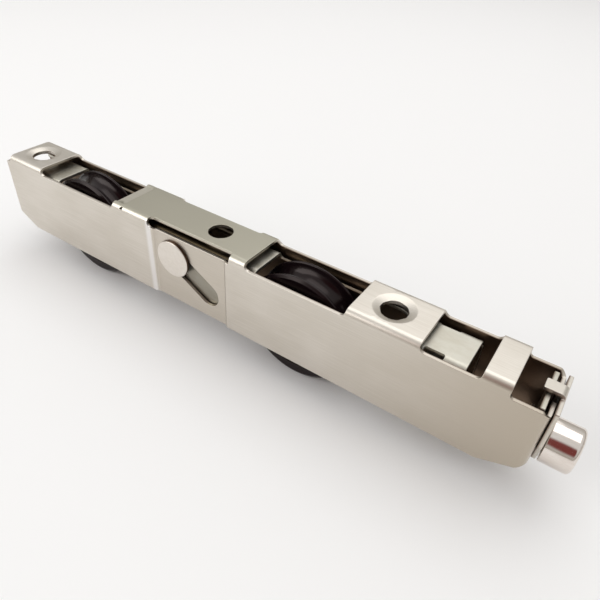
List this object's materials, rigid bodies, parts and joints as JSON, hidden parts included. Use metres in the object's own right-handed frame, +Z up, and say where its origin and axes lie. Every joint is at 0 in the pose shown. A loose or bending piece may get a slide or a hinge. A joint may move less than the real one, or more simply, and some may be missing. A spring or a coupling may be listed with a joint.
{
  "type": "sliding door roller",
  "caption": "Height-adjustable tandem roller for a sliding door: folded steel housing, inner carriage with grooved wheels, guide rivet in a sloping slot and an end adjusting screw.",
  "frame": {"origin": "middle of the part's length and width, at the level that the wheels stand on with the wheels raised", "axes": "+X along the door towards the adjusting screw, +Y across the door, +Z up"},
  "size_m": [0.2196, 0.02, 0.0399],
  "materials": {
    "stainless": "fine brushed",
    "zinc_steel": "satin zinc plated",
    "rivet_steel": "satin",
    "chrome_steel": "bright nickel plated",
    "bearing_steel": "ground and polished",
    "black_nylon": "turned, slightly glossy",
    "cage_nylon": "moulded"
  },
  "bodies": {
    "housing": {"outer_housing": "stainless"},
    "carriage": {"inner_carriage": "zinc_steel", "guide_rivet": "rivet_steel", "guide_rivet_washer": "rivet_steel", "guide_rivet_sleeve": "zinc_steel", "nut_block": "zinc_steel", "left_axle_rivet": "rivet_steel", "left_front_spacer": "zinc_steel", "left_back_spacer": "zinc_steel", "left_bearing_inner_ring": "bearing_steel", "right_axle_rivet": "rivet_steel", "right_front_spacer": "zinc_steel", "right_back_spacer": "zinc_steel", "right_bearing_inner_ring": "bearing_steel"},
    "screw_slider": {"inner_slide_plate": "zinc_steel", "outer_slide_plate": "stainless"},
    "screw": {"adjusting_screw": "chrome_steel", "screw_thrust_washer": "bearing_steel", "screw_retaining_clip": "bearing_steel"},
    "left_wheel_unit": {"left_wheel": "black_nylon", "left_bearing_outer_ring": "bearing_steel", "left_bearing_front_shield": "bearing_steel", "left_bearing_back_shield": "bearing_steel"},
    "left_ball_set": {"left_bearing_cage": "cage_nylon", "left_bearing_ball_1": "bearing_steel", "left_bearing_ball_2": "bearing_steel", "left_bearing_ball_3": "bearing_steel", "left_bearing_ball_4": "bearing_steel", "left_bearing_ball_5": "bearing_steel", "left_bearing_ball_6": "bearing_steel", "left_bearing_ball_7": "bearing_steel"},
    "right_wheel_unit": {"right_wheel": "black_nylon", "right_bearing_outer_ring": "bearing_steel", "right_bearing_front_shield": "bearing_steel", "right_bearing_back_shield": "bearing_steel"},
    "right_ball_set": {"right_bearing_cage": "cage_nylon", "right_bearing_ball_1": "bearing_steel", "right_bearing_ball_2": "bearing_steel", "right_bearing_ball_3": "bearing_steel", "right_bearing_ball_4": "bearing_steel", "right_bearing_ball_5": "bearing_steel", "right_bearing_ball_6": "bearing_steel", "right_bearing_ball_7": "bearing_steel"}
  },
  "joints": [
    {"name": "carriage_slide", "type": "slide", "parent": "housing", "child": "carriage", "axis": [0.8616, 0, -0.5075], "range_m": [0, 0.017]},
    {"name": "screw_turn", "type": "hinge", "parent": "screw_slider", "child": "screw", "pos_m": [0.10265, 0, 0.0198], "axis": [1, 0, 0], "range_deg": [-4219, 0]},
    {"name": "slider_drop", "type": "slide", "parent": "housing", "child": "screw_slider", "axis": [0, 0, -1], "range_m": [0, 0.0087]},
    {"name": "left_wheel_spin", "type": "hinge", "parent": "carriage", "child": "left_wheel_unit", "pos_m": [-0.07105, 0, 0.0195], "axis": [0, 1, 0], "continuous": true},
    {"name": "left_balls_orbit", "type": "hinge", "parent": "carriage", "child": "left_ball_set", "pos_m": [-0.07105, 0, 0.0195], "axis": [0, 1, 0], "continuous": true},
    {"name": "right_wheel_spin", "type": "hinge", "parent": "carriage", "child": "right_wheel_unit", "pos_m": [0.02495, 0, 0.0195], "axis": [0, 1, 0], "continuous": true},
    {"name": "right_balls_orbit", "type": "hinge", "parent": "carriage", "child": "right_ball_set", "pos_m": [0.02495, 0, 0.0195], "axis": [0, 1, 0], "continuous": true}
  ],
  "couplings": [
    {"joint": "screw_turn", "follows": "carriage_slide", "rad_per_m": -4331},
    {"joint": "slider_drop", "follows": "carriage_slide", "ratio": 0.50754},
    {"joint": "left_balls_orbit", "follows": "left_wheel_spin", "ratio": 0.6315},
    {"joint": "right_balls_orbit", "follows": "right_wheel_spin", "ratio": 0.6315}
  ]
}
